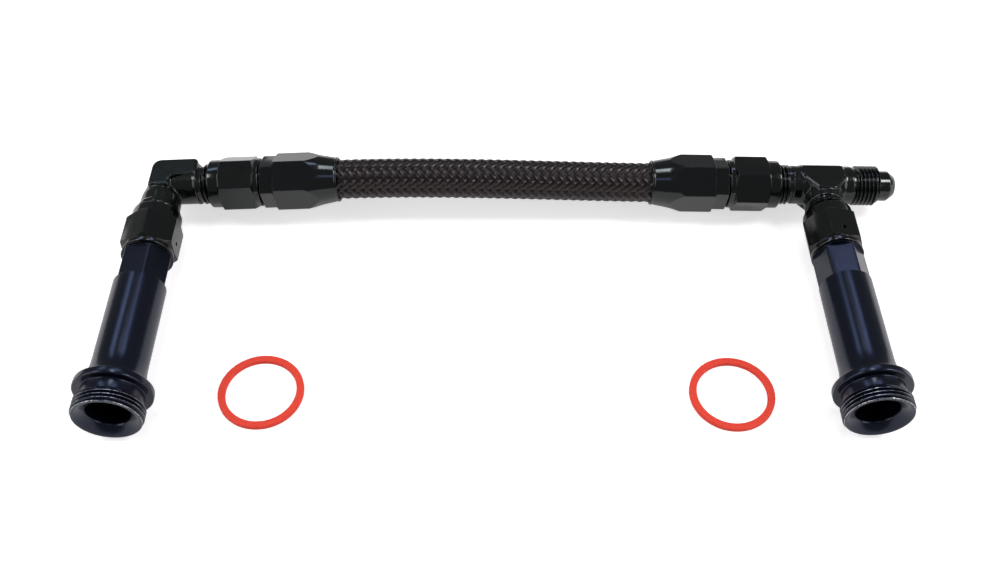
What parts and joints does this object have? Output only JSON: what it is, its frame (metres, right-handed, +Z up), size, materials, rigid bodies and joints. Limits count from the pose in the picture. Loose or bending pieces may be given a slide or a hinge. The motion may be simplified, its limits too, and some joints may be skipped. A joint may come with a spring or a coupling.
{
  "type": "dual feed fuel line",
  "caption": "Black fuel line with a braided hose between an elbow and a tee, a threaded inlet fitting on a swivel nut at each end, and a flat red gasket lying beside each inlet.",
  "frame": {"origin": "centre of the bottom of the bounding box, on the surface the line lies on", "axes": "+X along the hose from the elbow to the tee, +Y from the inlets back to the hose, +Z up from the surface"},
  "size_m": [0.275, 0.1086, 0.0253],
  "materials": {
    "black_anodised_aluminium": "satin black anodised",
    "wire_steel": "drawn wire",
    "braided_nylon": "black braid",
    "fuel_rubber": "matt black",
    "red_gasket_fibre": "matt red"
  },
  "bodies": {
    "root": {"inlet_adapter_left": "black_anodised_aluminium", "inlet_adapter_right": "black_anodised_aluminium", "elbow_body": "black_anodised_aluminium", "tee_body": "black_anodised_aluminium", "leg_nut_left": "black_anodised_aluminium", "leg_nut_wire_left": "wire_steel", "leg_nut_right": "black_anodised_aluminium", "leg_nut_wire_right": "wire_steel", "hose_nut_left": "black_anodised_aluminium", "hose_nut_wire_left": "wire_steel", "hose_nut_right": "black_anodised_aluminium", "hose_nut_wire_right": "wire_steel", "hose_nipple_left": "black_anodised_aluminium", "hose_nipple_right": "black_anodised_aluminium", "hose_socket_left": "black_anodised_aluminium", "hose_socket_right": "black_anodised_aluminium", "hose_liner": "fuel_rubber", "hose_braid": "braided_nylon", "inlet_gasket_left": "red_gasket_fibre", "inlet_gasket_right": "red_gasket_fibre"}
  },
  "joints": []
}
